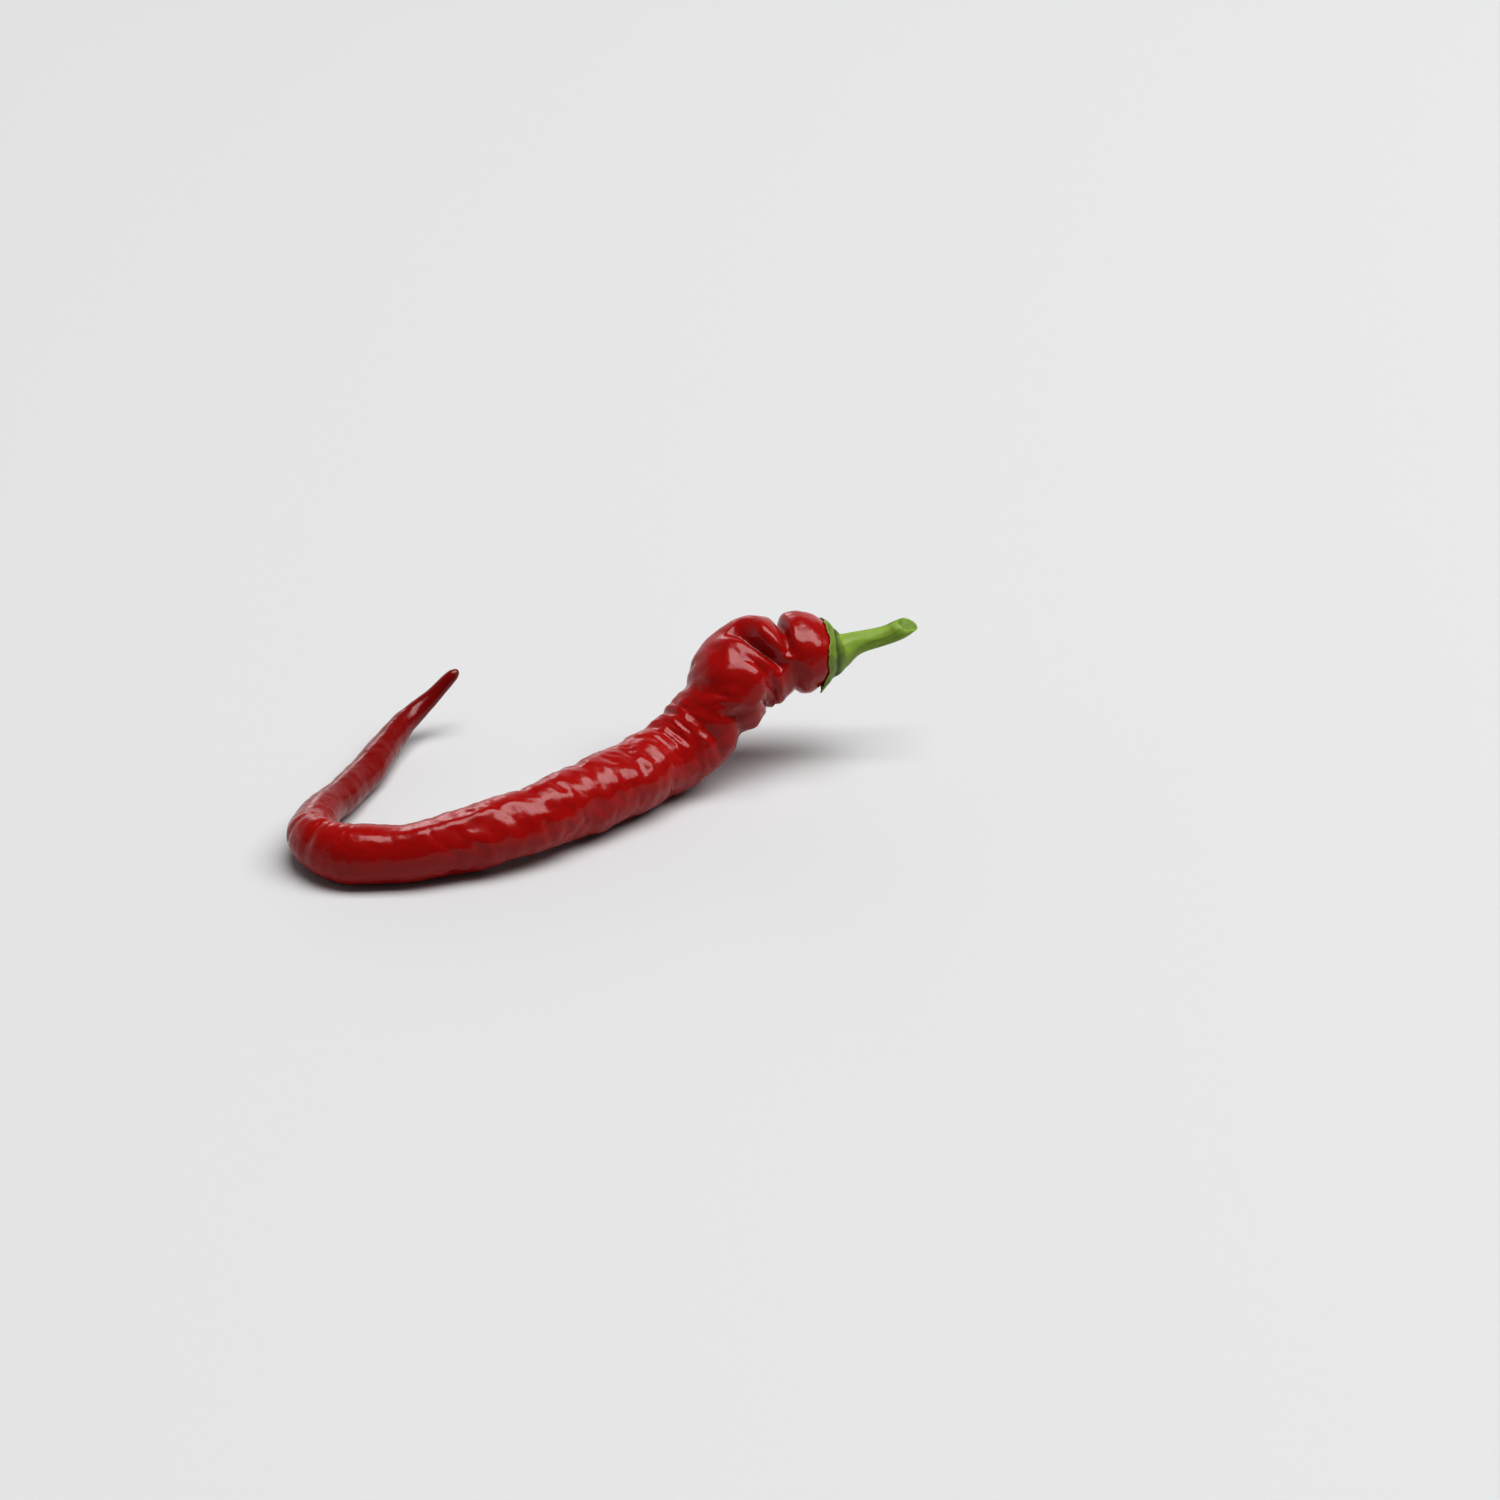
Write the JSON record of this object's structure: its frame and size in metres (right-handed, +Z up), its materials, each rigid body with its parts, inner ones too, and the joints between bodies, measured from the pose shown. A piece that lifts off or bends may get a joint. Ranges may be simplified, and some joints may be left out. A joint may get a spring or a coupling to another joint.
{
  "type": "turuncu spiral pepper",
  "caption": "Long ripe red pepper with a folded neck, a slender body that hooks back on itself, and a green calyx and cut stalk, lying as picked.",
  "frame": {"origin": "on the surface the pepper lies on, under the middle of its whole box", "axes": "+X towards the cut end of the stalk, +Y away from the viewer, +Z up"},
  "size_m": [0.1396, 0.0782, 0.0359],
  "materials": {
    "pod_skin": "waxy, glossy ripe red pepper skin",
    "green_stalk": "fresh green stalk, satin, with a darker cap"
  },
  "bodies": {
    "root": {"pod": "pod_skin", "calyx_and_stalk": "green_stalk"}
  },
  "joints": []
}
